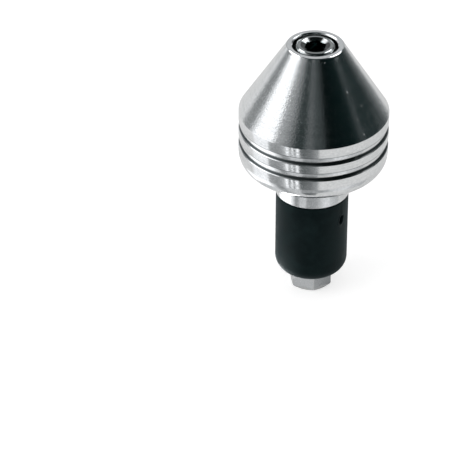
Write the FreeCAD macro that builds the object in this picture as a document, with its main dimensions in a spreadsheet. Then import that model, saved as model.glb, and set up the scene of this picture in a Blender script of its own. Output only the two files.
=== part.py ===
import FreeCAD, Part
import math
import os
import Sketcher
from types import SimpleNamespace

# A motorbike bar end weight that clamps itself into the end of a handlebar tube.
# The frame's origin is the centre of the shoulder that meets the tube's end, and +Z runs along
# the axis from the tube towards the nose.

# Driving dimensions: alias, value in millimetres or degrees, meaning
DIMENSIONS = [
    ("head_diameter", 38.0, "largest diameter of the weight"),
    ("band_height", 16.5, "shoulder to the edge where the cone starts"),
    ("tip_height", 35.35, "shoulder to the flat tip"),
    ("tip_diameter", 14.3, "sharp diameter where the cone meets the flat tip"),
    ("tip_edge_chamfer", 0.32, "broken edge between the cone and the flat tip"),
    ("back_radius", 4.9, "large rounding between the band and the shoulder"),
    ("groove_count", 2, "number of grooves round the band"),
    ("groove_offset", 2.6, "cone edge to the start of the first groove's lip"),
    ("groove_pitch", 4.45, "distance from one groove to the next"),
    ("groove_width", 2.3, "width of a groove with its lip"),
    ("groove_depth", 0.8, "depth of a groove at its root"),
    ("groove_lip_height", 1.2, "height of the shallow conical lip towards the nose"),
    ("groove_lip_depth", 0.3, "depth of the groove where the lip ends"),
    ("groove_flank_height", 0.8, "height of the flank between the root and the lower edge"),
    ("spigot_diameter", 19.0, "collar that centres the weight in the tube"),
    ("spigot_length", 7.65, "length of the collar below the shoulder"),
    ("spigot_chamfer", 0.35, "lead-in chamfer at the end of the collar"),
    ("counterbore_diameter", 11.4, "recess that hides the screw head"),
    ("counterbore_edge", 0.3, "broken edge round the recess"),
    ("screw_clearance", 0.3, "gap between the screw and the hole through the weight"),
    ("screw_diameter", 6.0, "outside diameter of the thread"),
    ("screw_recess", 0.05, "depth of the screw's top below the flat tip"),
    ("screw_head_diameter", 10.0, "diameter of the cylindrical screw head"),
    ("screw_head_height", 6.0, "height of the screw head"),
    ("screw_head_chamfer", 0.7, "chamfer round the top of the screw head"),
    ("screw_end_chamfer", 0.6, "chamfer at the thread's end"),
    ("screw_end_inset", 0.35, "depth of the thread's end inside the nut's outer face"),
    ("socket_width", 5.0, "width across the flats of the hexagon socket"),
    ("socket_depth", 3.2, "depth of the hexagon socket"),
    ("socket_mouth_diameter", 7.6, "dished mouth of the socket in the head's top"),
    ("socket_turn", 13.0, "direction of one corner of the socket, from +Y towards +X"),
    ("sleeve_diameter", 18.7, "outside diameter of the rubber sleeve at rest"),
    ("sleeve_length", 23.4, "length of the rubber sleeve at rest"),
    ("sleeve_clearance", 0.3, "gap between the screw and the sleeve's bore"),
    ("sleeve_end_radius", 3.5, "large rounding at the nut's end of the sleeve"),
    ("sleeve_rim_chamfer", 0.35, "broken edge at the collar's end of the sleeve"),
    ("gate_mark_width", 1.3, "width of the moulding gate's mark in the sleeve"),
    ("gate_mark_height", 2.3, "height of the moulding gate's mark"),
    ("gate_mark_depth", 0.9, "depth of the moulding gate's mark"),
    ("gate_mark_drop", 5.5, "collar's end of the sleeve to the middle of the mark"),
    ("gate_mark_turn", 52.0, "direction of the mark, from -Y towards +X"),
    ("nut_width", 10.0, "width across the flats of the nut"),
    ("nut_height", 5.0, "height of the nut"),
    ("nut_chamfer_diameter", 9.6, "diameter where the nut's end chamfers start"),
    ("nut_bore_clearance", 0.05, "running gap between the screw and the nut"),
    ("nut_countersink", 0.4, "chamfer at both mouths of the nut's bore"),
    ("nut_turn", 7.0, "direction of one corner of the nut, from -Y towards +X"),
]

# Slopes of the chamfers and of the socket's mouth, as rise over run
NUT_CHAMFER_SLOPE = 0.577
SOCKET_CONE_SLOPE = 0.577
SOCKET_MOUTH_SLOPE = 0.4

# Radius that the nut's chamfering cut reaches, as a share of the nut's width; its corners lie at 0.58
NUT_CUT_REACH = 0.7


class Size:
    """A number together with the sheet expression that gives it."""

    def __init__(self, value, text):
        self.value = value
        self.text = text

    def join(self, sign, other, value):
        other_text = other.text if isinstance(other, Size) else str(other)
        return Size(value, f"({self.text} {sign} {other_text})")

    def __add__(self, other):
        return self.join("+", other, self.value + number(other))

    def __sub__(self, other):
        return self.join("-", other, self.value - number(other))

    def __mul__(self, other):
        return self.join("*", other, self.value * number(other))

    def __truediv__(self, other):
        return self.join("/", other, self.value / number(other))

    def __neg__(self):
        return self * -1


def number(item):
    """The plain number of a Size or of a number."""
    return item.value if isinstance(item, Size) else item


def fill_sheet(doc):
    """Write the driving dimensions into the sheet and return them by name."""
    sheet = doc.addObject("Spreadsheet::Sheet", "Sizes")
    named = {}
    for row, (alias, value, meaning) in enumerate(DIMENSIONS, start=1):
        sheet.set(f"A{row}", meaning)
        sheet.set(f"B{row}", str(value))
        sheet.setAlias(f"B{row}", alias)
        named[alias] = Size(value, f"Sizes.{alias}")
    doc.recompute()
    return SimpleNamespace(**named)


def bind(item, path, size):
    """Drive a property or a constraint of an object from the sheet."""
    item.setExpression(path, size.text)


def new_body(doc, label, height=None, turn=None):
    """A body for one sub-part, placed at a height on the axis and turned about it."""
    body = doc.addObject("PartDesign::Body", label)
    body.Label = label
    if height is not None:
        bind(body, "Placement.Base.z", height)
    if turn is not None:
        rotation = FreeCAD.Rotation(FreeCAD.Vector(0, 0, 1), turn.value)
        body.Placement = FreeCAD.Placement(FreeCAD.Vector(), rotation)
        bind(body, "Placement.Rotation.Angle", turn)
    return body


def new_sketch(body, name, role, offset=None):
    """A sketch on one of the body's own origin planes, moved along its normal by the offset."""
    sketch = body.newObject("Sketcher::SketchObject", name)
    plane = [item for item in body.Origin.OriginFeatures if item.Role == role][0]
    sketch.AttachmentSupport = [(plane, "")]
    sketch.MapMode = "FlatFace"
    if offset is not None:
        bind(sketch, "AttachmentOffset.Base.z", offset)
    return sketch


def pin(sketch, geometry, point, across, up):
    """Hold one point of a sketch at its two distances from the origin."""
    for kind, axis, size in (("DistanceX", -2, across), ("DistanceY", -1, up)):
        if isinstance(size, Size):
            index = sketch.addConstraint(Sketcher.Constraint(kind, -1, 1, geometry, point, size.value))
            bind(sketch, f"Constraints[{index}]", size)
        else:
            sketch.addConstraint(Sketcher.Constraint("PointOnObject", geometry, point, axis))


def outline(sketch, corners):
    """Close an outline of straight lines through corners (across, up)."""
    spots = [FreeCAD.Vector(number(across), number(up), 0) for across, up in corners]
    lines = []
    for index, spot in enumerate(spots):
        line = Part.LineSegment(spot, spots[(index + 1) % len(spots)])
        lines.append(sketch.addGeometry(line, False))
    for index, (across, up) in enumerate(corners):
        following = lines[(index + 1) % len(lines)]
        sketch.addConstraint(Sketcher.Constraint("Coincident", lines[index], 2, following, 1))
        pin(sketch, lines[index], 1, across, up)


def hexagon(sketch, width):
    """A hexagon about the origin with two sides upright and a corner at the top."""
    reach = width.value / math.sqrt(3)
    angles = [math.radians(30 + 60 * step) for step in range(6)]
    spots = [FreeCAD.Vector(reach * math.cos(angle), reach * math.sin(angle), 0) for angle in angles]
    sides = []
    for index, spot in enumerate(spots):
        side = Part.LineSegment(spot, spots[(index + 1) % 6])
        sides.append(sketch.addGeometry(side, False))
    circle = Part.Circle(FreeCAD.Vector(), FreeCAD.Vector(0, 0, 1), reach)
    guide = sketch.addGeometry(circle, True)
    sketch.addConstraint(Sketcher.Constraint("Coincident", guide, 3, -1, 1))
    for index, side in enumerate(sides):
        sketch.addConstraint(Sketcher.Constraint("Coincident", side, 2, sides[(index + 1) % 6], 1))
        sketch.addConstraint(Sketcher.Constraint("PointOnObject", side, 1, guide))
    for side in sides[1:]:
        sketch.addConstraint(Sketcher.Constraint("Equal", sides[0], side))
    sketch.addConstraint(Sketcher.Constraint("Vertical", sides[5]))
    half = width / 2
    bound = sketch.addConstraint(Sketcher.Constraint("DistanceX", -1, 1, sides[0], 1, half.value))
    bind(sketch, f"Constraints[{bound}]", half)


def centre_circle(sketch, diameter):
    """A circle about the sketch's origin."""
    circle = Part.Circle(FreeCAD.Vector(), FreeCAD.Vector(0, 0, 1), diameter.value / 2)
    piece = sketch.addGeometry(circle, False)
    sketch.addConstraint(Sketcher.Constraint("Coincident", piece, 3, -1, 1))
    bound = sketch.addConstraint(Sketcher.Constraint("Diameter", piece, diameter.value))
    bind(sketch, f"Constraints[{bound}]", diameter)


def upright_slot(sketch, middle, width, height):
    """A slot with round ends whose middle lies on the sketch's upright axis."""
    radius = width / 2
    reach = height / 2 - radius
    ends = []
    for centre, angle in ((middle + reach, 0), (middle - reach, math.pi)):
        circle = Part.Circle(FreeCAD.Vector(0, centre.value, 0), FreeCAD.Vector(0, 0, 1), radius.value)
        end = sketch.addGeometry(Part.ArcOfCircle(circle, angle, angle + math.pi), False)
        pin(sketch, end, 3, 0, centre)
        ends.append(end)
    top, bottom = ends
    for side, points in ((-1, (2, 1)), (1, (1, 2))):
        upper = FreeCAD.Vector(side * radius.value, number(middle + reach), 0)
        lower = FreeCAD.Vector(side * radius.value, number(middle - reach), 0)
        line = sketch.addGeometry(Part.LineSegment(upper, lower), False)
        sketch.addConstraint(Sketcher.Constraint("Tangent", line, 1, top, points[0]))
        sketch.addConstraint(Sketcher.Constraint("Tangent", line, 2, bottom, points[1]))
    sketch.addConstraint(Sketcher.Constraint("Equal", top, bottom))
    bound = sketch.addConstraint(Sketcher.Constraint("Radius", top, radius.value))
    bind(sketch, f"Constraints[{bound}]", radius)


def turned(body, name, kind, corners):
    """Turn an outline about the axis, adding or cutting metal."""
    sketch = new_sketch(body, f"{name}_outline", "XZ_Plane")
    outline(sketch, corners)
    feature = body.newObject(kind, name)
    feature.Profile = sketch
    feature.ReferenceAxis = (sketch, ["V_Axis"])
    feature.Angle = 360
    sketch.Visibility = False
    body.Document.recompute()
    return feature


def ring_edges(feature, radius, height):
    """Names of the round edges with this radius at this height on the axis."""
    names = []
    for index, edge in enumerate(feature.Shape.Edges, start=1):
        if not isinstance(edge.Curve, Part.Circle):
            continue
        same_radius = abs(edge.Curve.Radius - radius.value) < 1e-4
        same_height = abs(edge.Curve.Center.z - number(height)) < 1e-4
        if same_radius and same_height:
            names.append(f"Edge{index}")
    return names


def dress(body, name, kind, radius, height, size):
    """Round or chamfer the edge of this radius at this height."""
    base = body.Tip
    feature = body.newObject(kind, name)
    feature.Base = (base, ring_edges(base, radius, height))
    bind(feature, "Radius" if kind == "PartDesign::Fillet" else "Size", size)
    body.Document.recompute()
    return feature


def groove_profile(size):
    """Section of a groove: a shallow lip, a steep wall down to the root, and a flank to a crisp edge."""
    surface = size.head_diameter / 2
    outside = surface + size.groove_depth
    start = size.band_height - size.groove_offset
    end = start - size.groove_width
    return [
        (outside, start),
        (surface, start),
        (surface - size.groove_lip_depth, start - size.groove_lip_height),
        (surface - size.groove_depth, end + size.groove_flank_height),
        (surface, end),
        (outside, end),
    ]


def make_weight(doc, size):
    """The turned weight: cone, grooved band, rounded back, collar and stepped bore."""
    body = new_body(doc, "weight_body")
    head = size.head_diameter / 2
    tip = size.tip_diameter / 2
    spigot = size.spigot_diameter / 2
    turned(body, "turned_blank", "PartDesign::Revolution", [
        (0, -size.spigot_length),
        (spigot, -size.spigot_length),
        (spigot, 0),
        (head, 0),
        (head, size.band_height),
        (tip, size.tip_height),
        (0, size.tip_height),
    ])
    dress(body, "back_rounding", "PartDesign::Fillet", head, 0, size.back_radius)
    dress(body, "collar_lead_in", "PartDesign::Chamfer", spigot, -size.spigot_length, size.spigot_chamfer)
    dress(body, "tip_edge", "PartDesign::Chamfer", tip, size.tip_height, size.tip_edge_chamfer)

    groove = turned(body, "groove", "PartDesign::Groove", groove_profile(size))
    row = body.newObject("PartDesign::LinearPattern", "groove_row")
    row.Originals = [groove]
    row.Direction = (groove.Profile[0], ["V_Axis"])
    row.Reversed = True
    bind(row, "Occurrences", size.groove_count)
    bind(row, "Length", size.groove_pitch * (size.groove_count - 1))
    body.Tip = row
    doc.recompute()

    centre = new_sketch(body, "bore_centre", "XY_Plane", size.tip_height)
    bore = size.screw_diameter + size.screw_clearance * 2
    centre_circle(centre, bore)
    doc.recompute()
    hole = body.newObject("PartDesign::Hole", "stepped_bore")
    hole.Profile = centre
    hole.DepthType = "ThroughAll"
    hole.HoleCutType = "Counterbore"
    hole.HoleCutCustomValues = True
    bind(hole, "Diameter", bore)
    bind(hole, "HoleCutDiameter", size.counterbore_diameter)
    bind(hole, "HoleCutDepth", size.screw_recess + size.screw_head_height)
    doc.recompute()
    recess = size.counterbore_diameter / 2
    dress(body, "recess_edge", "PartDesign::Chamfer", recess, size.tip_height, size.counterbore_edge)
    return body


def make_screw(doc, size):
    """The cap screw: cylindrical head with a hexagon socket, and its shank down to the nut."""
    seat = size.tip_height - size.screw_recess - size.screw_head_height
    body = new_body(doc, "cap_screw", height=seat, turn=-size.socket_turn)
    head = size.screw_head_diameter / 2
    shank = size.screw_diameter / 2
    nut_face = seat + size.spigot_length + size.sleeve_length + size.nut_height
    length = nut_face - size.screw_end_inset
    turned(body, "screw_blank", "PartDesign::Revolution", [
        (0, -length),
        (shank, -length),
        (shank, 0),
        (head, 0),
        (head, size.screw_head_height),
        (0, size.screw_head_height),
    ])
    dress(body, "thread_end", "PartDesign::Chamfer", shank, -length, size.screw_end_chamfer)
    dress(body, "head_edge", "PartDesign::Chamfer", head, size.screw_head_height, size.screw_head_chamfer)

    flats = new_sketch(body, "socket_flats", "XY_Plane", size.screw_head_height)
    hexagon(flats, size.socket_width)
    socket = body.newObject("PartDesign::Pocket", "hexagon_socket")
    socket.Profile = flats
    bind(socket, "Length", size.socket_depth)
    doc.recompute()
    mouth = size.socket_mouth_diameter / 2
    point = size.socket_width / 2
    floor = size.screw_head_height - size.socket_depth
    turned(body, "socket_mouth", "PartDesign::Groove", [
        (0, size.screw_head_height - mouth * SOCKET_MOUTH_SLOPE),
        (mouth, size.screw_head_height),
        (0, size.screw_head_height),
    ])
    turned(body, "socket_drill_point", "PartDesign::Groove", [
        (0, floor - point * SOCKET_CONE_SLOPE),
        (point, floor),
        (0, floor),
    ])
    return body


def make_sleeve(doc, size):
    """The rubber sleeve that bulges inside the tube when the nut is drawn up."""
    body = new_body(doc, "rubber_sleeve", height=-size.spigot_length, turn=size.gate_mark_turn)
    outside = size.sleeve_diameter / 2
    bore = size.screw_diameter / 2 + size.sleeve_clearance
    nut_end = -size.sleeve_length
    turned(body, "sleeve_wall", "PartDesign::Revolution", [
        (bore, nut_end),
        (outside, nut_end),
        (outside, 0),
        (bore, 0),
    ])
    dress(body, "nut_end_rounding", "PartDesign::Fillet", outside, nut_end, size.sleeve_end_radius)
    dress(body, "collar_end_edge", "PartDesign::Chamfer", outside, 0, size.sleeve_rim_chamfer)

    mark = new_sketch(body, "gate_mark_outline", "XZ_Plane", outside)
    upright_slot(mark, -size.gate_mark_drop, size.gate_mark_width, size.gate_mark_height)
    pocket = body.newObject("PartDesign::Pocket", "gate_mark")
    pocket.Profile = mark
    bind(pocket, "Length", size.gate_mark_depth)
    doc.recompute()
    return body


def make_nut(doc, size):
    """The hexagon nut that bears on the sleeve's end."""
    outer_face = -(size.spigot_length + size.sleeve_length + size.nut_height)
    body = new_body(doc, "hex_nut", height=outer_face, turn=size.nut_turn)
    flats = new_sketch(body, "nut_flats", "XY_Plane")
    hexagon(flats, size.nut_width)
    pad = body.newObject("PartDesign::Pad", "nut_blank")
    pad.Profile = flats
    bind(pad, "Length", size.nut_height)
    doc.recompute()

    start = size.nut_chamfer_diameter / 2
    outside = size.nut_width * NUT_CUT_REACH
    rise = (outside - start) * NUT_CHAMFER_SLOPE
    turned(body, "outer_chamfer", "PartDesign::Groove", [
        (start, 0),
        (outside, 0),
        (outside, rise),
    ])
    turned(body, "inner_chamfer", "PartDesign::Groove", [
        (start, size.nut_height),
        (outside, size.nut_height),
        (outside, size.nut_height - rise),
    ])

    centre = new_sketch(body, "nut_bore_centre", "XY_Plane", size.nut_height)
    bore = size.screw_diameter + size.nut_bore_clearance * 2
    centre_circle(centre, bore)
    pocket = body.newObject("PartDesign::Pocket", "nut_bore")
    pocket.Profile = centre
    pocket.Type = "ThroughAll"
    doc.recompute()
    dress(body, "outer_countersink", "PartDesign::Chamfer", bore / 2, 0, size.nut_countersink)
    dress(body, "inner_countersink", "PartDesign::Chamfer", bore / 2, size.nut_height, size.nut_countersink)
    return body


def check(doc, bodies):
    """Stop when a feature failed or a sub-part isn't one sound solid."""
    for item in doc.Objects:
        if "Invalid" in item.State or "Error" in item.State:
            raise RuntimeError(f"{item.Name} did not compute")
    for body in bodies:
        shape = body.Shape
        if shape.isNull() or not shape.isValid() or len(shape.Solids) != 1:
            raise RuntimeError(f"{body.Label} is not one valid solid")


def main():
    doc = FreeCAD.newDocument("bar_end_weight")
    size = fill_sheet(doc)
    bodies = [
        make_weight(doc, size),
        make_screw(doc, size),
        make_sleeve(doc, size),
        make_nut(doc, size),
    ]
    doc.recompute()
    check(doc, bodies)
    os.makedirs("parts", exist_ok=True)
    for body in bodies:
        body.Shape.exportStep(f"parts/{body.Label}.step")
        box = body.Shape.BoundBox
        print(f"{body.Label}: {body.Shape.Volume:.1f} mm3, z {box.ZMin:.2f} to {box.ZMax:.2f}")


main()
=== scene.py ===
"""A bar end weight: turned and polished metal nose, cap screw, rubber sleeve and hexagon nut."""

import math

import bmesh
import bpy
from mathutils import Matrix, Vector


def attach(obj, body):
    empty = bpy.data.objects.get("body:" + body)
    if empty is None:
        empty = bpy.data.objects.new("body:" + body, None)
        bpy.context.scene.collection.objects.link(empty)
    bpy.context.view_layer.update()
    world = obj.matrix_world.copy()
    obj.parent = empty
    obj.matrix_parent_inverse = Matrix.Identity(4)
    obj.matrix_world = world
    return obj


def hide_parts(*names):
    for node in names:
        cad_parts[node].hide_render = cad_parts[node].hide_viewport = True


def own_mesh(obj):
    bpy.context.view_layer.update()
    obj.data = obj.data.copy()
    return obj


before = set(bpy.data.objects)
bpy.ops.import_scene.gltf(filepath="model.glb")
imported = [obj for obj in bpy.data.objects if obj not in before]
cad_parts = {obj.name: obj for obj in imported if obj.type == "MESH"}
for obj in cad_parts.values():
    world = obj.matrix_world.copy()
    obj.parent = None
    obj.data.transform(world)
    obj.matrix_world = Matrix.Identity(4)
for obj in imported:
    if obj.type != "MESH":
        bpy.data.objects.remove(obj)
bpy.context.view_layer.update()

MM = 0.001
MM_IN_METRE = 1000.0

# Heights along the axis, in millimetres above the shoulder
TIP_Z = 35.35
BAND_Z = 16.5
COLLAR_END_Z = -7.65
SLEEVE_END_Z = -31.05
NUT_END_Z = -36.05
SCREW_TOP_Z = 35.3
SCREW_SEAT_Z = 29.3
SCREW_END_Z = -35.7

# The turned weight, in millimetres
HEAD_R = 19.0
TIP_R = 7.15
TIP_ROUND = 0.5
EDGE_ROUND = 0.12
BACK_R = 4.9
RECESS_R = 5.7
RECESS_CHAMFER = 0.3
RECESS_ROUND = 0.1
BORE_R = 3.3
GROOVE_STARTS = (13.9, 9.45)
GROOVE_WIDTH = 2.3
GROOVE_DEPTH = 0.8
GROOVE_START_ROUND = 0.06
GROOVE_FLOOR_ROUND = 0.1
GROOVE_END_ROUND = 0.05
LIP_HEIGHT = 1.2
LIP_DEPTH = 0.3
FLANK_HEIGHT = 0.8
COLLAR_R = 9.5
COLLAR_CHAMFER = 0.35
COLLAR_ROOT_ROUND = 0.15
COLLAR_EDGE_ROUND = 0.05
TURNED_STEPS = 288
ROUNDING_STEP = math.radians(9)
FEWEST_ROUNDING_STEPS = 3

# Nicks in the cone: turn in degrees, height, half length, half width and sideways lean
NICKS = [
    (41.0, 17.8, 0.24, 0.24, 0.0),
    (50.5, 23.3, 1.1, 0.14, 0.3),
    (39.0, 27.3, 0.2, 0.2, 0.0),
    (40.0, 21.3, 0.3, 0.22, 0.0),
    (15.5, 34.4, 0.12, 0.12, 0.0),
]
# A spot across the upper groove where the painted shade on the groove floor is lighter, in the
# same terms, and how much of that painted shade it takes off
LIGHTER_SHADE_SPOT = (33.0, 12.1, 0.9, 0.8, 0.0)
LIGHTER_SHADE_SHARE = 0.6

# The screw
SCREW_HEAD_R = 5.0
SCREW_HEAD_ROUND = 0.85
SEAT_EDGE_ROUND = 0.15
SHANK_R = 3.0
SCREW_END_CHAMFER = 0.6
SCREW_END_RING_R = 0.05
SOCKET_HALF = 2.5
SOCKET_DEPTH = 3.2
SOCKET_MOUTH_R = 3.8
SOCKET_TURN = math.radians(-13)
SOCKET_TIP_SHARES = (0.02, 0.5, 0.97)
CONE_SLOPE = 0.577
MOUTH_SLOPE = 0.4
MOUTH_ROUND = 0.2
MOUTH_STEPS = 6
SCREW_STEPS = 144

# The thread; its crest and flank are shares of half a pitch
THREAD_DEPTH = 0.61
THREAD_PITCH = 1.0
THREAD_TOP_Z = -12.0
THREAD_CREST_SHARE = 0.12
THREAD_FLANK_SHARE = 0.66
THREAD_ROWS_IN_PITCH = 12
THREAD_GAP = 0.06

# The nut
NUT_HALF = 5.0
NUT_FACE_R = 4.8
NUT_CORNER_CUT = 0.1
NUT_MOUTH_R = 3.4
NUT_TURN = math.radians(7)
NUT_ROWS = 60

# The sleeve
SLEEVE_R = 9.35
SLEEVE_END_ROUND = 3.5
SLEEVE_RIM_ROUND = 0.4
SLEEVE_BORE_R = 3.3
SLEEVE_STEPS = 180
# Rows of points along the straight wall, 1 mm apart, and how near to it a point counts as on it
WALL_START = 5
WALL_ROWS = 14
ON_WALL_WITHIN = 0.01

# The mark that the moulding gate left on the sleeve, and the finer mesh round it
GATE_TURN = math.radians(52)
GATE_Z = -13.15
GATE_HALF_WIDTH = 0.65
GATE_HALF_HEIGHT = 1.15
GATE_DEPTH = 0.9
GATE_LEAN = 0.2
GATE_EDGE_WIDTH = 0.16
GATE_RIM_WIDTH = 0.28
GATE_RIM_HEIGHT = 0.09
FINE_HALF_TURN = math.radians(12)
FINE_STEPS = 36
FINE_HALF_HEIGHT = 1.6
FINE_ROWS = 40
FINE_MARGIN = 0.2

# Angles above which an edge stays sharp, in degrees
WEIGHT_SHARP = 24
SCREW_SHARP = 30
NUT_SHARP = 22
SLEEVE_SHARP = 40


# Meshes

def add_object(name, data):
    """Put new data into the scene as an object."""
    thing = bpy.data.objects.new(name, data)
    bpy.context.scene.collection.objects.link(thing)
    return thing


def mesh_object(name, points, faces, sharp_angle):
    """A smooth-shaded object from points in millimetres, with its sharp edges kept."""
    mesh = bpy.data.meshes.new(name)
    mesh.from_pydata([(x * MM, y * MM, z * MM) for x, y, z in points], [], faces)
    skin = bmesh.new()
    skin.from_mesh(mesh)
    bmesh.ops.recalc_face_normals(skin, faces=skin.faces)
    skin.to_mesh(mesh)
    skin.free()
    mesh.polygons.foreach_set("use_smooth", [True] * len(mesh.polygons))
    mesh.set_sharp_from_angle(angle=math.radians(sharp_angle))
    return add_object(name, mesh)


def ring_surface(name, rings, sharp_angle, capped=False):
    """Join rings of points of one length; the last joins the first, or both ends are capped."""
    count = len(rings[0])
    points = [point for ring in rings for point in ring]
    faces = []
    last = len(rings)
    if capped:
        last = len(rings) - 1
        faces.append(tuple(range(count)))
        faces.append(tuple(last * count + step for step in range(count)))
    for row in range(last):
        above = row * count
        below = ((row + 1) % len(rings)) * count
        for step in range(count):
            following = (step + 1) % count
            faces.append((above + step, above + following, below + following, below + step))
    return mesh_object(name, points, faces, sharp_angle)


def ring_point(radius, angle, height):
    """A point round the axis; angle 0 faces -Y and angles grow towards +X."""
    return (radius * math.sin(angle), -radius * math.cos(angle), height)


def turned_ring(radius, height, angles):
    """One round, level ring of points."""
    return [ring_point(radius, angle, height) for angle in angles]


def full_circle(steps):
    """Evenly spaced angles round the axis."""
    return [math.tau * step / steps for step in range(steps)]


def rounded(corners):
    """Points of an outline whose corners (radius, height, rounding) are filleted."""
    out = []
    for index, corner in enumerate(corners):
        here = Vector(corner[:2])
        fillet = corner[2] if len(corner) > 2 else 0
        if not fillet:
            out.append(tuple(here))
            continue
        before = Vector(corners[index - 1][:2])
        after = Vector(corners[(index + 1) % len(corners)][:2])
        back = (before - here).normalized()
        ahead = (after - here).normalized()
        half = back.angle(ahead) / 2
        centre = here + (back + ahead).normalized() * (fillet / math.sin(half))
        first = here + back * (fillet / math.tan(half)) - centre
        last = here + ahead * (fillet / math.tan(half)) - centre
        sweep = math.atan2(first.x * last.y - first.y * last.x, first.dot(last))
        pieces = max(FEWEST_ROUNDING_STEPS, math.ceil(abs(sweep) / ROUNDING_STEP))
        for step in range(pieces + 1):
            turn = sweep * step / pieces
            x = first.x * math.cos(turn) - first.y * math.sin(turn)
            y = first.x * math.sin(turn) + first.y * math.cos(turn)
            out.append((centre.x + x, centre.y + y))
    return out


def weight_outline():
    """Half section of the turned weight, from the recess over the nose and down to the bore."""
    corners = [
        (BORE_R, SCREW_SEAT_Z),
        (RECESS_R, SCREW_SEAT_Z),
        (RECESS_R, TIP_Z - RECESS_CHAMFER, RECESS_ROUND),
        (RECESS_R + RECESS_CHAMFER, TIP_Z, RECESS_ROUND),
        (TIP_R, TIP_Z, TIP_ROUND),
        (HEAD_R, BAND_Z, EDGE_ROUND),
    ]
    for start in GROOVE_STARTS:
        end = start - GROOVE_WIDTH
        corners += [
            (HEAD_R, start, GROOVE_START_ROUND),
            (HEAD_R - LIP_DEPTH, start - LIP_HEIGHT, GROOVE_FLOOR_ROUND),
            (HEAD_R - GROOVE_DEPTH, end + FLANK_HEIGHT, GROOVE_FLOOR_ROUND),
            (HEAD_R, end, GROOVE_END_ROUND),
        ]
    corners += [
        (HEAD_R, 0, BACK_R),
        (COLLAR_R, 0, COLLAR_ROOT_ROUND),
        (COLLAR_R, COLLAR_END_Z + COLLAR_CHAMFER, COLLAR_EDGE_ROUND),
        (COLLAR_R - COLLAR_CHAMFER, COLLAR_END_Z, COLLAR_EDGE_ROUND),
        (BORE_R, COLLAR_END_Z),
    ]
    return rounded(corners)


def build_weight():
    """The turned weight as one smooth lathed piece."""
    angles = full_circle(TURNED_STEPS)
    rings = [turned_ring(radius, height, angles) for radius, height in weight_outline()]
    piece = ring_surface("polished_weight", rings, WEIGHT_SHARP)
    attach(piece, "weight")
    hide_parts("weight_body")
    return piece


def hexagon_reach(angle, half_width, turn):
    """Distance from the axis to a hexagon with a corner at the turn angle from -Y."""
    sixth = math.tau / 6
    return half_width / math.cos((angle - turn) % sixth - sixth / 2)


def thread_radius(angle, height):
    """Radius of the right-hand thread, with flattened crests and roots."""
    phase = (height / THREAD_PITCH + angle / math.tau) % 1.0
    share = (abs(phase - 0.5) * 2 - THREAD_CREST_SHARE) / THREAD_FLANK_SHARE
    return SHANK_R - THREAD_DEPTH * min(1.0, max(0.0, share))


def socket_rings(angles):
    """Rings of the screw's socket, from the tip of its drilled end up to its dished mouth."""
    floor_z = SCREW_TOP_Z - SOCKET_DEPTH
    apex_z = floor_z - SOCKET_HALF * CONE_SLOPE
    rings = []
    for share in SOCKET_TIP_SHARES:
        radius = SOCKET_HALF * share
        rings.append(turned_ring(radius, apex_z + radius * CONE_SLOPE, angles))
    walls = [hexagon_reach(angle, SOCKET_HALF, SOCKET_TURN) for angle in angles]
    rings.append([ring_point(reach, angle, floor_z) for reach, angle in zip(walls, angles)])
    for step in range(MOUTH_STEPS + 1):
        share = step / MOUTH_STEPS
        ring = []
        for reach, angle in zip(walls, angles):
            radius = reach + (SOCKET_MOUTH_R - MOUTH_ROUND - reach) * share
            height = SCREW_TOP_Z - (SOCKET_MOUTH_R - radius) * MOUTH_SLOPE
            ring.append(ring_point(radius, angle, height))
        rings.append(ring)
    return rings


def shank_thread_rings(angles):
    """Rings of the screw's thread, which runs out at its top and is chamfered at its end."""
    length = THREAD_TOP_Z - SCREW_END_Z
    rows = round(length / THREAD_PITCH * THREAD_ROWS_IN_PITCH)
    rings = []
    for row in range(1, rows + 1):
        height = THREAD_TOP_Z - length * row / rows
        run_out = min(1.0, (THREAD_TOP_Z - height) / THREAD_PITCH)
        chamfer = SHANK_R - SCREW_END_CHAMFER + (height - SCREW_END_Z)
        ring = []
        for angle in angles:
            radius = SHANK_R + (thread_radius(angle, height) - SHANK_R) * run_out
            ring.append(ring_point(min(radius, chamfer), angle, height))
        rings.append(ring)
    return rings


def build_screw():
    """The cap screw: rounded head, hexagon socket, shank and thread."""
    angles = [angle + SOCKET_TURN for angle in full_circle(SCREW_STEPS)]
    outline = rounded([
        (SOCKET_MOUTH_R - MOUTH_ROUND, SCREW_TOP_Z - MOUTH_ROUND * MOUTH_SLOPE),
        (SOCKET_MOUTH_R, SCREW_TOP_Z, MOUTH_ROUND),
        (SCREW_HEAD_R, SCREW_TOP_Z, SCREW_HEAD_ROUND),
        (SCREW_HEAD_R, SCREW_SEAT_Z, SEAT_EDGE_ROUND),
        (SHANK_R, SCREW_SEAT_Z),
        (SHANK_R, THREAD_TOP_Z),
    ])
    # The outline's first point is already the socket's last ring
    rings = socket_rings(angles)
    rings += [turned_ring(radius, height, angles) for radius, height in outline[1:]]
    rings += shank_thread_rings(angles)
    rings.append(turned_ring(SCREW_END_RING_R, SCREW_END_Z, angles))
    piece = ring_surface("socket_cap_screw", rings, SCREW_SHARP, capped=True)
    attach(piece, "screw")
    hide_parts("cap_screw")
    return piece


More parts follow.
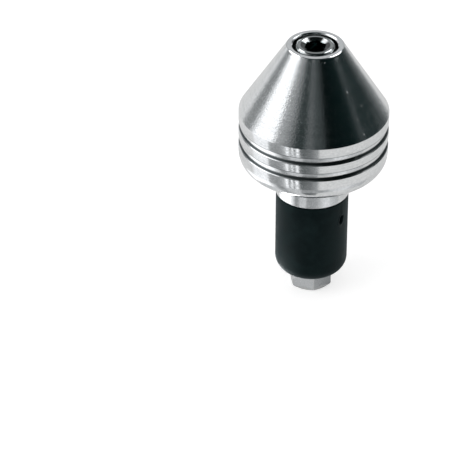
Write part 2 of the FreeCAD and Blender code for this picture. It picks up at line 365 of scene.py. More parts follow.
def build_nut():
    """The hexagon nut with chamfered corners and its thread."""
    top, bottom = SLEEVE_END_Z, NUT_END_Z
    angles = [angle + NUT_TURN for angle in full_circle(SCREW_STEPS)]
    corner_r = NUT_HALF / math.cos(math.radians(30)) - NUT_CORNER_CUT
    walls = [min(hexagon_reach(angle, NUT_HALF, NUT_TURN), corner_r) for angle in angles]
    drops = [max(0, reach - NUT_FACE_R) * CONE_SLOPE for reach in walls]
    rings = [
        turned_ring(NUT_FACE_R, top, angles),
        [ring_point(r, a, top - drop) for r, a, drop in zip(walls, angles, drops)],
        [ring_point(r, a, bottom + drop) for r, a, drop in zip(walls, angles, drops)],
        turned_ring(NUT_FACE_R, bottom, angles),
    ]
    for row in range(NUT_ROWS + 1):
        height = bottom + (top - bottom) * row / NUT_ROWS
        mouth = max(NUT_MOUTH_R - (height - bottom), NUT_MOUTH_R - (top - height))
        ring = []
        for angle in angles:
            radius = max(thread_radius(angle, height) + THREAD_GAP, mouth)
            ring.append(ring_point(radius, angle, height))
        rings.append(ring)
    piece = ring_surface("hexagon_nut", rings, NUT_SHARP)
    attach(piece, "nut")
    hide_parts("hex_nut")
    return piece


def gate_change(angle, height):
    """How far the gate mark raises or sinks the sleeve's wall at this place."""
    across = (angle - GATE_TURN) * SLEEVE_R - (height - GATE_Z) * GATE_LEAN
    along = max(0.0, abs(height - GATE_Z) - (GATE_HALF_HEIGHT - GATE_HALF_WIDTH))
    away = math.hypot(across, along) - GATE_HALF_WIDTH
    sunk = min(1.0, max(0.0, 0.5 - away / GATE_EDGE_WIDTH))
    from_rim = abs(away - GATE_EDGE_WIDTH / 2 - GATE_RIM_WIDTH)
    raised = max(0.0, 1.0 - from_rim / GATE_RIM_WIDTH)
    return GATE_RIM_HEIGHT * raised - GATE_DEPTH * sunk


def sleeve_outline():
    """Half section of the sleeve, with rows along its wall that are finer at the gate mark."""
    outline = rounded([
        (SLEEVE_BORE_R, SLEEVE_END_Z),
        (SLEEVE_R, SLEEVE_END_Z, SLEEVE_END_ROUND),
        (SLEEVE_R, COLLAR_END_Z, SLEEVE_RIM_ROUND),
        (SLEEVE_BORE_R, COLLAR_END_Z),
    ])
    low = GATE_Z - FINE_HALF_HEIGHT
    wall = [SLEEVE_END_Z + WALL_START + row for row in range(WALL_ROWS)]
    wall = [height for height in wall if height < low - FINE_MARGIN]
    wall += [low + 2 * FINE_HALF_HEIGHT * row / FINE_ROWS for row in range(FINE_ROWS + 1)]
    middle = (SLEEVE_END_Z + COLLAR_END_Z) / 2
    split = next(index for index, point in enumerate(outline) if point[1] > middle)
    return outline[:split] + [(SLEEVE_R, height) for height in wall] + outline[split:]


def build_sleeve():
    """The rubber sleeve with its rounded end and the moulding gate's mark."""
    coarse = [round(angle, 6) for angle in full_circle(SLEEVE_STEPS)]
    fine = [round(GATE_TURN + FINE_HALF_TURN * step / FINE_STEPS, 6)
            for step in range(-FINE_STEPS, FINE_STEPS + 1)]
    angles = sorted(set(coarse + fine))
    rings = []
    for radius, height in sleeve_outline():
        on_wall = radius > SLEEVE_R - ON_WALL_WITHIN
        ring = []
        for angle in angles:
            change = gate_change(angle, height) if on_wall else 0
            ring.append(ring_point(radius + change, angle, height))
        rings.append(ring)
    piece = ring_surface("rubber_expander", rings, SLEEVE_SHARP)
    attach(piece, "weight")
    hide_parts("rubber_sleeve")
    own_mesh(piece)
    return piece


# Node helpers

def new_group(name, inputs, outputs):
    """An empty shader group with named number inputs (name, default) and number outputs."""
    group = bpy.data.node_groups.new(name, "ShaderNodeTree")
    for label, default in inputs:
        socket = group.interface.new_socket(
            label, in_out="INPUT", socket_type="NodeSocketFloat")
        socket.default_value = default
    for label in outputs:
        group.interface.new_socket(label, in_out="OUTPUT", socket_type="NodeSocketFloat")
    return group, group.nodes.new("NodeGroupInput"), group.nodes.new("NodeGroupOutput")


def maths(tree, operation, first, second=None):
    """A Math node; each input is a socket or a number."""
    node = tree.nodes.new("ShaderNodeMath")
    node.operation = operation
    for index, item in enumerate((first, second)):
        if isinstance(item, bpy.types.NodeSocket):
            tree.links.new(item, node.inputs[index])
        elif item is not None:
            node.inputs[index].default_value = item
    return node.outputs[0]


def add_up(tree, values):
    """The sum of several sockets."""
    total = values[0]
    for value in values[1:]:
        total = maths(tree, "ADD", total, value)
    return total


def own_place(tree):
    """The place on the object, in metres."""
    return tree.nodes.new("ShaderNodeTexCoord").outputs["Object"]


def own_axes(tree):
    """The place on the object as x, y and z, in metres."""
    split = tree.nodes.new("ShaderNodeSeparateXYZ")
    tree.links.new(own_place(tree), split.inputs[0])
    return split.outputs


def from_axis(tree, x, y):
    """Distance from the axis."""
    squares = maths(tree, "ADD", maths(tree, "MULTIPLY", x, x), maths(tree, "MULTIPLY", y, y))
    return maths(tree, "SQRT", squares)


def noise(tree, vector, scale, detail=3.0, roughness=0.55):
    """A Noise Texture's value at the vector."""
    node = tree.nodes.new("ShaderNodeTexNoise")
    node.inputs["Detail"].default_value = detail
    node.inputs["Roughness"].default_value = roughness
    tree.links.new(vector, node.inputs["Vector"])
    if isinstance(scale, bpy.types.NodeSocket):
        tree.links.new(scale, node.inputs["Scale"])
    else:
        node.inputs["Scale"].default_value = scale
    return node.outputs[0]


# The part of its range that a noise mostly keeps to
NOISE_SPAN = (0.3, 0.7)


def remap(tree, value, given, wanted):
    """A clamped Map Range from the span given to the span wanted."""
    node = tree.nodes.new("ShaderNodeMapRange")
    tree.links.new(value, node.inputs[0])
    for index, number in enumerate((*given, *wanted), start=1):
        node.inputs[index].default_value = number
    return node.outputs[0]


def ramp(tree, value, edge, fade, rising):
    """A mask that climbs over the fade above an edge, or falls over the fade below it."""
    ends = (value, edge) if rising else (edge, value)
    share = maths(tree, "DIVIDE", maths(tree, "SUBTRACT", *ends), fade)
    share.node.use_clamp = True
    return share


# Shared effects

SMALLEST_RADIUS = 0.00001
COARSE_SCALE = 0.22
MARKS_DETAIL = 2.0


def turning_marks():
    """Fine rings left by the lathe: they follow the section and hardly change round it."""
    group, given, result = new_group(
        "turning_marks",
        [("Lines per mm", 4.0), ("Drift round the axis", 0.6)],
        ["Height", "Coarse"],
    )
    x, y, z = own_axes(group)
    across = from_axis(group, x, y)
    safe = maths(group, "MAXIMUM", across, SMALLEST_RADIUS)
    run = maths(group, "MULTIPLY", maths(group, "SUBTRACT", z, across), MM_IN_METRE)
    join = group.nodes.new("ShaderNodeCombineXYZ")
    for index, axis in enumerate((x, y)):
        direction = maths(group, "DIVIDE", axis, safe)
        drift = maths(group, "MULTIPLY", direction, given.outputs["Drift round the axis"])
        group.links.new(drift, join.inputs[index])
    lines = maths(group, "MULTIPLY", run, given.outputs["Lines per mm"])
    group.links.new(lines, join.inputs[2])
    for label, scale in (("Height", 1.0), ("Coarse", COARSE_SCALE)):
        lined = noise(group, join.outputs[0], scale, MARKS_DETAIL)
        group.links.new(lined, result.inputs[label])
    return group


def turned_zone():
    """A mask of a zone round the axis, between two heights and two radii."""
    group, given, result = new_group(
        "turned_zone",
        [("Low mm", -50.0), ("High mm", 50.0), ("Inside mm", -1.0), ("Outside mm", 50.0),
         ("Fade mm", 0.1)],
        ["Mask"],
    )
    x, y, z = own_axes(group)
    radius = maths(group, "MULTIPLY", from_axis(group, x, y), MM_IN_METRE)
    height = maths(group, "MULTIPLY", z, MM_IN_METRE)
    fade = given.outputs["Fade mm"]
    mask = ramp(group, height, given.outputs["Low mm"], fade, True)
    others = (
        (height, "High mm", False),
        (radius, "Inside mm", True),
        (radius, "Outside mm", False),
    )
    for value, label, rising in others:
        limit = ramp(group, value, given.outputs[label], fade, rising)
        mask = maths(group, "MULTIPLY", mask, limit)
    group.links.new(mask, result.inputs["Mask"])
    return group


def turned_nick():
    """A mask of one spot, drawn out along the axis by its length and leaning sideways."""
    group, given, result = new_group(
        "nick",
        [("Across mm", 0.0), ("Back mm", 0.0), ("Up mm", 0.0), ("Long mm", 0.2),
         ("Wide mm", 0.2), ("Lean", 0.0)],
        ["Mask"],
    )
    away = []
    for axis, label in zip(own_axes(group), ("Across mm", "Back mm", "Up mm")):
        place = maths(group, "MULTIPLY", axis, MM_IN_METRE)
        away.append(maths(group, "SUBTRACT", place, given.outputs[label]))
    across, back, up = away
    wide = given.outputs["Wide mm"]
    across = maths(group, "SUBTRACT", across, maths(group, "MULTIPLY", up, given.outputs["Lean"]))
    shortened = maths(group, "DIVIDE", wide, given.outputs["Long mm"])
    along = maths(group, "MULTIPLY", up, shortened)
    squares = [maths(group, "MULTIPLY", part, part) for part in (across, back, along)]
    distance = maths(group, "SQRT", add_up(group, squares))
    group.links.new(ramp(group, distance, wide, wide, False), result.inputs["Mask"])
    return group


SPECK_EDGE = 0.78
SPECK_EDGE_DROP = 0.12
SPECK_DETAIL = 4.0
SPECK_ROUGHNESS = 0.7
CLOUD_SCALE = 260.0


def handling_marks():
    """Specks and soft clouds from handling."""
    group, given, result = new_group(
        "handling_marks",
        [("Speck size mm", 0.35), ("Amount", 0.5)],
        ["Specks", "Cloud"],
    )
    place = own_place(group)
    scale = maths(group, "DIVIDE", MM_IN_METRE, given.outputs["Speck size mm"])
    grain = noise(group, place, scale, SPECK_DETAIL, SPECK_ROUGHNESS)
    drop = maths(group, "MULTIPLY", given.outputs["Amount"], SPECK_EDGE_DROP)
    edge = maths(group, "SUBTRACT", SPECK_EDGE, drop)
    group.links.new(maths(group, "GREATER_THAN", grain, edge), result.inputs["Specks"])
    group.links.new(noise(group, place, CLOUD_SCALE), result.inputs["Cloud"])
    return group


# Material helpers

def start_material(name, metallic):
    """A material with its Principled shader, ready for links."""
    material = bpy.data.materials.new(name)
    material.use_nodes = True
    tree = material.node_tree
    shader = tree.nodes["Principled BSDF"]
    shader.inputs["Metallic"].default_value = metallic
    return material, tree, shader


def place_group(tree, group, **values):
    """Put a group into a material with its own values."""
    node = tree.nodes.new("ShaderNodeGroup")
    node.node_tree = group
    for label, value in values.items():
        node.inputs[label.replace("_", " ")].default_value = value
    return node


def place_mark(tree, nick, place, radius):
    """The mask of one mark from its turn, height, half length, half width and lean."""
    turn, height, long, wide, lean = place
    spot = way_to(turn, 0) * radius
    node = place_group(tree, nick, Across_mm=spot.x, Back_mm=spot.y, Up_mm=height,
                       Long_mm=long, Wide_mm=wide, Lean=lean)
    return node.outputs["Mask"]


# The Mix node's sockets for colours
MIX_LOW, MIX_HIGH, MIX_RESULT = 6, 7, 2


def blend_colour(tree, share, low, high):
    """A colour that runs with the share from low, a colour or a socket, to the colour high."""
    node = tree.nodes.new("ShaderNodeMix")
    node.data_type = "RGBA"
    tree.links.new(share, node.inputs[0])
    if isinstance(low, bpy.types.NodeSocket):
        tree.links.new(low, node.inputs[MIX_LOW])
    else:
        node.inputs[MIX_LOW].default_value = (*low, 1)
    node.inputs[MIX_HIGH].default_value = (*high, 1)
    return node.outputs[MIX_RESULT]


def bump(tree, height, distance, below=None):
    """A Bump node; distance in metres."""
    node = tree.nodes.new("ShaderNodeBump")
    node.inputs["Distance"].default_value = distance
    tree.links.new(height, node.inputs["Height"])
    if below is not None:
        tree.links.new(below, node.inputs["Normal"])
    return node.outputs[0]


def way_to(azimuth, elevation):
    """Direction from azimuth and elevation in degrees; azimuth 0 faces -Y, 90 faces +X."""
    a, e = math.radians(azimuth), math.radians(elevation)
    return Vector((math.sin(a) * math.cos(e), -math.cos(a) * math.cos(e), math.sin(e)))


# Finishes: colours are linear, bump heights are in metres and zones in millimetres

METAL_TONES = ((0.70, 0.72, 0.725), (0.95, 0.96, 0.965))
METAL_ROUGHNESS = (0.11, 0.19)
METAL_RING_SHARE = 0.4
METAL_GRAIN_SHARE = 0.6
METAL_SPECK_ROUGHNESS = 0.25
RING_BUMP = 0.000008
GRAIN_BUMP = 0.00004
GRAIN_FADE = 0.4
NICK_BUMP = 0.00006

# Painted shade on a groove's floor: how far above its lower edge it starts, how far under the
# flank's top it ends, its fade and its strength
GROOVE_PAINTED_SHADE = (0.03, 0.04, 0.042)
GROOVE_SHADE_START = 0.10
GROOVE_SHADE_MARGIN = 0.06
GROOVE_SHADE_FADE = 0.14
GROOVE_SHADE_SHARE = 0.95
GROOVE_FLOOR_ROUGHNESS = 0.2

# Painted shade in a thin line where a groove's lip starts: how far it goes below and above the
# edge
CREASE_PAINTED_SHADE = (0.30, 0.315, 0.32)
CREASE_BELOW = 0.18
CREASE_ABOVE = 0.1
CREASE_FADE = 0.06
CREASE_SHADE_SHARE = 0.8

PLATING_DETAIL_SCALE = 2600.0
PLATING_RING_BUMP = 0.000003
SCREW_TONES = ((0.30, 0.325, 0.325), (0.44, 0.455, 0.455))
SCREW_ROUGHNESS = (0.08, 0.15)
SCREW_BUMP = 0.000002
# Painted shade in the screw's dished mouth
DISH_PAINTED_SHADE = (0.05, 0.05, 0.05)
DISH_SHADE_FADE = 0.2
DISH_SHADE_SHARE = 0.8
# Painted shade deep in the socket, also standing for the forged walls' darker colour
SOCKET_PAINTED_SHADE = (0.06, 0.09, 0.09)
SOCKET_SHADE_R = 3.3
SOCKET_SHADE_TOP_Z = 34.95
SOCKET_SHADE_FADE = 0.3
NUT_TONES = ((0.58, 0.59, 0.59), (0.76, 0.77, 0.77))
NUT_ROUGHNESS = (0.14, 0.24)
NUT_BUMP = 0.00001

RUBBER_TONES = ((0.0006, 0.0022, 0.0025), (0.0055, 0.011, 0.0115))
RUBBER_ROUGHNESS = (0.5, 0.66)
RUBBER_SPECULAR = 0.12
RUBBER_SPECULAR_TINT = (0.45, 0.95, 1.0, 1)
RUBBER_SHEEN = 0.12
RUBBER_SHEEN_ROUGHNESS = 0.45
RUBBER_SHEEN_TINT = (0.75, 0.95, 1.0, 1)
RUBBER_CLOUD_SPAN = (0.38, 0.72)
RUBBER_CLOUD_SHARE = (0.0, 0.9)
RUBBER_SPECK_SHARE = 0.4
RUBBER_GRAIN_SCALE = 1800.0
RUBBER_GRAIN_DETAIL = 4.0
RUBBER_GRAIN_ROUGHNESS = 0.6
RUBBER_BUMP = 0.00002


def groove_masks(tree, zone, nick):
    """Masks of the painted shade on the floor of each groove, lighter on one spot, and of the
    painted shade in thin lines where the lips start.
    """
    floor_shades = []
    crease_shades = []
    for start in GROOVE_STARTS:
        end = start - GROOVE_WIDTH
        floor = place_group(tree, zone, Low_mm=end + GROOVE_SHADE_START,
                            High_mm=end + FLANK_HEIGHT - GROOVE_SHADE_MARGIN,
                            Fade_mm=GROOVE_SHADE_FADE)
        crease_shade = place_group(tree, zone, Low_mm=start - CREASE_BELOW,
                             High_mm=start + CREASE_ABOVE, Fade_mm=CREASE_FADE)
        floor_shades.append(floor.outputs["Mask"])
        crease_shades.append(crease_shade.outputs["Mask"])
    # The painted shade on the groove floor is lighter on this spot
    shade_lift = maths(tree, "MULTIPLY", place_mark(tree, nick, LIGHTER_SHADE_SPOT, HEAD_R), LIGHTER_SHADE_SHARE)
    left = maths(tree, "SUBTRACT", 1.0, shade_lift)
    return maths(tree, "MULTIPLY", add_up(tree, floor_shades), left), add_up(tree, crease_shades)


def metal_normal(tree, rings, grain, zone, nick):
    """Grain on the cone, fine rings all over and the nicks in the cone."""
    cone = place_group(tree, zone, Low_mm=BAND_Z, High_mm=TIP_Z - TIP_ROUND, Fade_mm=GRAIN_FADE)
    cone_grain = maths(tree, "MULTIPLY", grain.outputs["Height"], cone.outputs["Mask"])
    normal = bump(tree, cone_grain, GRAIN_BUMP)
    normal = bump(tree, rings.outputs["Height"], RING_BUMP, below=normal)
    dents = []
    for place in NICKS:
        radius = HEAD_R - (place[1] - BAND_Z) * (HEAD_R - TIP_R) / (TIP_Z - BAND_Z)
        dents.append(place_mark(tree, nick, place, radius))
    return bump(tree, add_up(tree, dents), NICK_BUMP, below=normal)


def polished_metal(marks, wear, zone, nick):
    """Turned and polished aluminium, rougher in the grooves, with painted shade on each groove's
    floor and in thin lines where the lips start.
    """
    material, tree, shader = start_material("polished_metal_finish", 1.0)
    rings = place_group(tree, marks, Lines_per_mm=2.4, Drift_round_the_axis=2.4)
    grain = place_group(tree, marks, Lines_per_mm=2.6, Drift_round_the_axis=26.0)
    specks = place_group(tree, wear, Amount=0.4)
    groove, crease_shade = groove_masks(tree, zone, nick)

    tone = maths(tree, "ADD",
                 maths(tree, "MULTIPLY", rings.outputs["Coarse"], METAL_RING_SHARE),
                 maths(tree, "MULTIPLY", grain.outputs["Height"], METAL_GRAIN_SHARE))
    colour = blend_colour(tree, remap(tree, tone, NOISE_SPAN, (0.0, 1.0)), *METAL_TONES)
    # Painted shade in thin lines where the lips of the grooves start
    colour = blend_colour(tree, maths(tree, "MULTIPLY", crease_shade, CREASE_SHADE_SHARE), colour, CREASE_PAINTED_SHADE)
    # Painted shade on each groove's floor
    dark = maths(tree, "MULTIPLY", groove, GROOVE_SHADE_SHARE)
    colour = blend_colour(tree, dark, colour, GROOVE_PAINTED_SHADE)
    tree.links.new(colour, shader.inputs["Base Color"])

    rough = remap(tree, rings.outputs["Height"], NOISE_SPAN, METAL_ROUGHNESS)
    for mask, more in ((specks.outputs["Specks"], METAL_SPECK_ROUGHNESS),
                       (groove, GROOVE_FLOOR_ROUGHNESS)):
        rough = maths(tree, "ADD", rough, maths(tree, "MULTIPLY", mask, more))
    tree.links.new(rough, shader.inputs["Roughness"])
    tree.links.new(metal_normal(tree, rings, grain, zone, nick), shader.inputs["Normal"])
    return material


def plated_steel(name, marks, wear, tones, roughness, grain_bump):
    """Zinc plated or bright steel with a fine grain."""
    material, tree, shader = start_material(name, 1.0)
    cloud = place_group(tree, wear).outputs["Cloud"]
    rings = place_group(tree, marks, Lines_per_mm=2.0)
    tree.links.new(blend_colour(tree, cloud, *tones), shader.inputs["Base Color"])
    tree.links.new(remap(tree, cloud, NOISE_SPAN, roughness), shader.inputs["Roughness"])
    normal = bump(tree, noise(tree, own_place(tree), PLATING_DETAIL_SCALE), grain_bump)
    normal = bump(tree, rings.outputs["Height"], PLATING_RING_BUMP, below=normal)
    tree.links.new(normal, shader.inputs["Normal"])
    return material


def screw_steel(marks, wear, zone):
    """Bright plated steel, with painted shade in the dished mouth, and painted shade that makes
    the inside of the socket nearly black, also standing for the forged walls' darker colour.
    """
    material = plated_steel(
        "screw_steel_finish", marks, wear, SCREW_TONES, SCREW_ROUGHNESS, SCREW_BUMP)
    tree = material.node_tree
    base = tree.nodes["Principled BSDF"].inputs["Base Color"]
    colour = base.links[0].from_socket
    # Painted shade in the dished mouth
    dish = place_group(tree, zone, Low_mm=SCREW_SEAT_Z, Outside_mm=SOCKET_MOUTH_R,
                       Fade_mm=DISH_SHADE_FADE)
    dish_share = maths(tree, "MULTIPLY", dish.outputs["Mask"], DISH_SHADE_SHARE)
    colour = blend_colour(tree, dish_share, colour, DISH_PAINTED_SHADE)
    # Nearly black painted shade deep in the socket, also standing for the forged walls' darker
    # colour
    inside = place_group(tree, zone, Low_mm=SCREW_SEAT_Z - 1, High_mm=SOCKET_SHADE_TOP_Z,
                         Outside_mm=SOCKET_SHADE_R, Fade_mm=SOCKET_SHADE_FADE)
    colour = blend_colour(tree, inside.outputs["Mask"], colour, SOCKET_PAINTED_SHADE)
    tree.links.new(colour, base)
    return material


def nut_steel(marks, wear):
    """Dull zinc plating."""
    return plated_steel("nut_steel_finish", marks, wear, NUT_TONES, NUT_ROUGHNESS, NUT_BUMP)


def sleeve_rubber(wear):
    """Matte moulded rubber with faint scuffs."""
    material, tree, shader = start_material("sleeve_rubber_finish", 0.0)
    shader.inputs["Specular IOR Level"].default_value = RUBBER_SPECULAR
    shader.inputs["Specular Tint"].default_value = RUBBER_SPECULAR_TINT
    shader.inputs["Sheen Weight"].default_value = RUBBER_SHEEN
    shader.inputs["Sheen Roughness"].default_value = RUBBER_SHEEN_ROUGHNESS
    shader.inputs["Sheen Tint"].default_value = RUBBER_SHEEN_TINT
    scuffs = place_group(tree, wear, Speck_size_mm=0.6, Amount=0.2)
    share = maths(tree, "ADD",
                  remap(tree, scuffs.outputs["Cloud"], RUBBER_CLOUD_SPAN, RUBBER_CLOUD_SHARE),
                  maths(tree, "MULTIPLY", scuffs.outputs["Specks"], RUBBER_SPECK_SHARE))
    tree.links.new(blend_colour(tree, share, *RUBBER_TONES), shader.inputs["Base Color"])
    rough = remap(tree, scuffs.outputs["Cloud"], NOISE_SPAN, RUBBER_ROUGHNESS)
    tree.links.new(rough, shader.inputs["Roughness"])
    grain = noise(tree, own_place(tree), RUBBER_GRAIN_SCALE, RUBBER_GRAIN_DETAIL,
                  RUBBER_GRAIN_ROUGHNESS)
    tree.links.new(bump(tree, grain, RUBBER_BUMP), shader.inputs["Normal"])
    return material


# Studio

FLOOR_Z = NUT_END_Z * MM
FLOOR_HALF = 3.0
FLOOR_GREY = (0.62, 0.62, 0.62, 1)
FLOOR_ROUGHNESS = 0.9
FLOOR_GLOW_SEEN = 0.60
FLOOR_GLOW_MIRRORED = 0.16
WORLD_LIGHT = 0.75
WORLD_LIGHT_SEEN = 0.25
WHITE = (1, 1, 1, 1)

LAMP_PLACE = (-0.9, -0.35, 0.6)
LAMP_SIZE = (0.9, 0.6)
LAMP_WATTS = 4.0

CAMERA_PLACE = (-0.02112, -0.5487, 0.3562)
CAMERA_TILT = math.radians(55.53)
CAMERA_LENS = 200.6
CAMERA_SENSOR = 36
CAMERA_CLIP = (0.05, 20)

# Cards round the object: name, azimuths and elevations that they span in degrees, and the
# brightness at their first and last azimuth
CARD_DISTANCE = 1.1
CARD_CENTRE = Vector((0, 0, 0.015))
HIGH_CARDS = [
    ("left_strip", (-139, -129), (-14, 24), 0.85, 0.72),
    ("left_fade", (-129, -122), (-14, 24), 0.72, 0.24),
    ("left_screen", (-122, -106), (-8, 24), 0.24, 0.27),
    ("streak_fade", (-106, -94), (-8, 24), 0.27, 1.15),
    ("streak_softbox", (-94, -62), (-8, 24), 1.25, 1.20),
    ("streak_top", (-78, -62), (24, 54), 1.20, 1.20),
    ("side_screen", (-62, -46), (-8, 62), 0.36, 0.30),
    ("side_fade", (-46, -28), (-8, 62), 0.28, 0.035),
    ("shade_left", (-28, -14), (-8, 62), 0.034, 0.034),
    ("dim_strip", (-14, -2), (-8, 62), 0.14, 0.13),
    ("dim_front", (-2, 16), (-8, 62), 0.065, 0.055),
    ("black_flag", (16, 62), (-8, 62), 0.003, 0.010),
    ("dark_screen", (62, 74), (-8, 24), 0.012, 0.045),
    ("edge_light", (74, 76.5), (-8, 24), 0.12, 0.12),
    ("dark_screen_right", (76.5, 112), (-8, 28), 0.030, 0.025),
    ("right_fade", (112, 139), (-14, 24), 0.03, 0.16),
    ("softbox_left", (-126, -78), (24, 54), 2.2, 2.2),
    ("softbox_left_high", (-150, -126), (40, 60), 9.0, 9.0),
    ("shade_left_high", (-150, -126), (24, 40), 0.05, 0.05),
    ("side_wall_right", (80, 104), (28, 54), 0.34, 0.46),
    ("softbox_right", (104, 126), (28, 54), 1.3, 2.2),
    ("softbox_right_high", (126, 150), (40, 60), 9.0, 9.0),
    ("shade_right_high", (126, 150), (24, 40), 0.12, 0.12),
    ("dark_screen_high", (62, 80), (24, 62), 0.008, 0.02),
    ("grey_wall", (139, 221), (-14, 24), 0.42, 0.42),
    ("grey_wall_high", (150, 210), (24, 62), 0.54, 0.54),
    ("overhead", (0, 360), (62, 90), 0.03, 0.03),
]

# Cards on the floor, in rows by the turned surface that mirrors them. A row has the surface's
# radius, the nearest and farthest that its cards reach from there, all in millimetres, and its
# cards: name, the turns on the surface that mirror them in degrees, and the brightness at the
# first and last turn. Each row lies a little above the one before.
CARD_LIFT = 0.0002
LOW_CARD_ROWS = [
    ((5.6, 0.3, 8.6), [
        ("nut_light", (-60, 4), 0.55, 0.60),
        ("nut_shade", (10, 70), 0.46, 0.22),
    ]),
    ((19.0, 4.0, 22.5), [
        ("back_side", (-88, -54), 0.56, 0.60),
        ("back_white", (-54, -38), 0.60, 0.66),
        ("back_grey", (-38, -28), 0.36, 0.34),
        ("back_light", (-28, -13), 0.50, 0.62),
        ("back_dark", (-13, -2), 0.18, 0.18),
        ("back_dim", (-2, 3), 0.18, 0.26),
    ]),
    ((9.35, 2.0, 9.5), [
        ("sleeve_glow", (-85, -30), 11.0, 2.0),
    ]),
    ((9.5, 32.0, 52.5), [
        ("collar_white", (-64, -38), 1.30, 1.35),
        ("collar_fade", (-38, -30), 1.15, 0.42),
        ("collar_grey", (-30, -23), 0.30, 0.34),
        ("collar_light", (-23, -11), 0.58, 0.62),
        ("collar_dim", (-11, 5), 0.34, 0.36),
        ("collar_rise", (5, 16), 0.34, 0.66),
        ("collar_bright", (16, 28), 0.74, 0.74),
        ("collar_soft", (28, 44), 0.60, 0.48),
    ]),
    ((19.0, 43.0, 420.0), [
        ("band_white", (-54, -38), 1.00, 1.10),
        ("band_grey", (-38, -28), 0.36, 0.30),
        ("band_light", (-28, -23), 0.36, 0.50),
        ("band_stripe_a", (-23, -20.5), 1.20, 1.20),
        ("band_gap_a", (-20.5, -18.5), 0.18, 0.18),
        ("band_stripe_b", (-18.5, -17), 1.20, 1.20),
        ("band_gap_b", (-17, -15), 0.22, 0.22),
        ("band_stripe_c", (-15, -12.5), 1.15, 1.15),
        ("band_dark", (-12.5, -2), 0.11, 0.20),
        ("band_dim", (-2, 2.5), 0.26, 0.33),
    ]),
    ((16.0, 230.0, 1080.0), [
        ("cone_edge_dark", (56, 72), 0.04, 0.30),
    ]),
]
# A turned surface mirrors twice its turn, and this many degrees more, because the camera stands
# a little to the left
MIRROR_OFFSET = 2

# Degrees that one face of a card spans
HIGH_CARD_COLUMN = 4
HIGH_CARD_ROW = 6
LOW_CARD_COLUMN = 3

# A card's red channel: a floor share of its brightness, and how far red stays under green and blue
LEAST_RED = 0.35
RED_DROP = 0.01
BLUE_GAIN = 1.02


def cool_grey(level):
    """A card's colour: neutral when it is bright, bluish green when it is dark."""
    return (max(LEAST_RED * level, level - RED_DROP), level, level * BLUE_GAIN, 1)


def card_material():
    """Light in the brightness that is painted on each card."""
    material = bpy.data.materials.new("card_glow")
    material.use_nodes = True
    tree = material.node_tree
    tree.nodes.clear()
    light = tree.nodes.new("ShaderNodeEmission")
    painted = tree.nodes.new("ShaderNodeAttribute")
    painted.attribute_name = "glow"
    tree.links.new(painted.outputs["Color"], light.inputs["Color"])
    out = tree.nodes.new("ShaderNodeOutputMaterial")
    tree.links.new(light.outputs[0], out.inputs[0])
    return material


def finish_card(name, material, points, columns, rows, levels):
    """A glowing card that only reflections see, from a grid of points written row by row."""
    width = columns + 1
    faces = []
    for row in range(rows):
        for column in range(columns):
            corner = row * width + column
            faces.append((corner, corner + 1, corner + width + 1, corner + width))
    mesh = bpy.data.meshes.new(name)
    mesh.from_pydata([tuple(point) for point in points], [], faces)
    glow = mesh.color_attributes.new("glow", "FLOAT_COLOR", "POINT")
    for index, level in enumerate(levels):
        glow.data[index].color = cool_grey(level)
    mesh.materials.append(material)
    card = add_object(name, mesh)
    for kind in ("camera", "diffuse", "transmission", "shadow", "volume_scatter"):
        setattr(card, f"visible_{kind}", False)


def between(ends, share):
    """The value at this share of the way between two ends."""
    return ends[0] + (ends[1] - ends[0]) * share


def high_card(material, name, azimuths, elevations, *levels):
    """A curved card that spans these directions from the object."""
    columns = max(1, round((azimuths[1] - azimuths[0]) / HIGH_CARD_COLUMN))
    rows = max(1, round((elevations[1] - elevations[0]) / HIGH_CARD_ROW))
    points = []
    painted = []
    for row in range(rows + 1):
        up = between(elevations, row / rows)
        for column in range(columns + 1):
            share = column / columns
            points.append(CARD_CENTRE + way_to(between(azimuths, share), up) * CARD_DISTANCE)
            painted.append(between(levels, share))
    finish_card(name, material, points, columns, rows, painted)


def low_card(material, reach, lift, name, turns, *levels):
    """A card just above the floor, between the rays that a turned surface mirrors at two turns."""
    radius, near, far = reach
    columns = max(1, round((turns[1] - turns[0]) / LOW_CARD_COLUMN))
    points = []
    painted = []
    for distance in (near, far):
        for column in range(columns + 1):
            share = column / columns
            turn = between(turns, share)
            spot = way_to(turn, 0) * radius + way_to(2 * turn + MIRROR_OFFSET, 0) * distance
            points.append(Vector((spot.x * MM, spot.y * MM, FLOOR_Z + lift)))
            painted.append(between(levels, share))
    finish_card(name, material, points, columns, 1, painted)


def lay_floor():
    """Pale paper that keeps the shadow and looks nearly white to the camera."""
    mesh = bpy.data.meshes.new("floor")
    corners = ((-1, -1), (1, -1), (1, 1), (-1, 1))
    points = [(x * FLOOR_HALF, y * FLOOR_HALF, FLOOR_Z) for x, y in corners]
    mesh.from_pydata(points, [], [(0, 1, 2, 3)])
    floor = add_object("floor", mesh)
    material, tree, shader = start_material("floor_paper", 0.0)
    shader.inputs["Base Color"].default_value = FLOOR_GREY
    shader.inputs["Roughness"].default_value = FLOOR_ROUGHNESS
    shader.inputs["Specular IOR Level"].default_value = 0.0
    shader.inputs["Emission Color"].default_value = WHITE
    path = tree.nodes.new("ShaderNodeLightPath")
    seen = maths(tree, "MULTIPLY", path.outputs["Is Camera Ray"], FLOOR_GLOW_SEEN)
    mirrored = maths(tree, "MULTIPLY", path.outputs["Is Glossy Ray"], FLOOR_GLOW_MIRRORED)
    tree.links.new(maths(tree, "ADD", seen, mirrored), shader.inputs["Emission Strength"])
    mesh.materials.append(material)


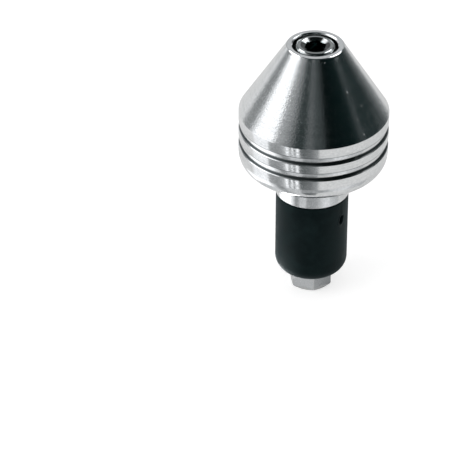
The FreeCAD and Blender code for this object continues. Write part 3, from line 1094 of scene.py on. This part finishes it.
def light_world():
    """Even light all round, pure white to the camera."""
    world = bpy.data.worlds.new("studio")
    bpy.context.scene.world = world
    world.use_nodes = True
    tree = world.node_tree
    light = tree.nodes["Background"]
    light.inputs["Color"].default_value = WHITE
    path = tree.nodes.new("ShaderNodeLightPath")
    seen = maths(tree, "MULTIPLY", path.outputs["Is Camera Ray"], WORLD_LIGHT_SEEN)
    tree.links.new(maths(tree, "ADD", WORLD_LIGHT, seen), light.inputs["Strength"])


def hang_lamp():
    """A soft lamp from the left, aimed at the object."""
    data = bpy.data.lights.new("soft_key", "AREA")
    data.shape = "RECTANGLE"
    data.size, data.size_y = LAMP_SIZE
    data.energy = LAMP_WATTS
    lamp = add_object("soft_key", data)
    lamp.location = LAMP_PLACE
    lamp.rotation_euler = Vector(LAMP_PLACE).to_track_quat("Z", "Y").to_euler()


def build_studio():
    """Pale floor, white surroundings and the cards that the polished metal mirrors."""
    lay_floor()
    light_world()
    glow = card_material()
    for card in HIGH_CARDS:
        high_card(glow, *card)
    for step, (reach, cards) in enumerate(LOW_CARD_ROWS, start=1):
        for card in cards:
            low_card(glow, reach, CARD_LIFT * step, *card)
    hang_lamp()


def place_camera():
    """The camera at the photograph's angle."""
    data = bpy.data.cameras.new("camera")
    data.sensor_fit = "HORIZONTAL"
    data.sensor_width = CAMERA_SENSOR
    data.lens = CAMERA_LENS
    data.clip_start, data.clip_end = CAMERA_CLIP
    camera = add_object("camera", data)
    camera.location = CAMERA_PLACE
    camera.rotation_euler = (CAMERA_TILT, 0, 0)
    bpy.context.scene.camera = camera


def main():
    """Build the pieces, finish them and the solids that they replace, and set up the studio."""
    place_camera()
    marks = turning_marks()
    wear = handling_marks()
    zone = turned_zone()
    finishes = {
        "weight_body": polished_metal(marks, wear, zone, turned_nick()),
        "cap_screw": screw_steel(marks, wear, zone),
        "rubber_sleeve": sleeve_rubber(wear),
        "hex_nut": nut_steel(marks, wear),
    }
    made = {
        "weight_body": build_weight(),
        "cap_screw": build_screw(),
        "rubber_sleeve": build_sleeve(),
        "hex_nut": build_nut(),
    }
    for node, finish in finishes.items():
        made[node].data.materials.append(finish)
        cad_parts[node].data.materials.clear()
        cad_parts[node].data.materials.append(finish)
    build_studio()
    bpy.context.scene.view_settings.view_transform = "Standard"


main()
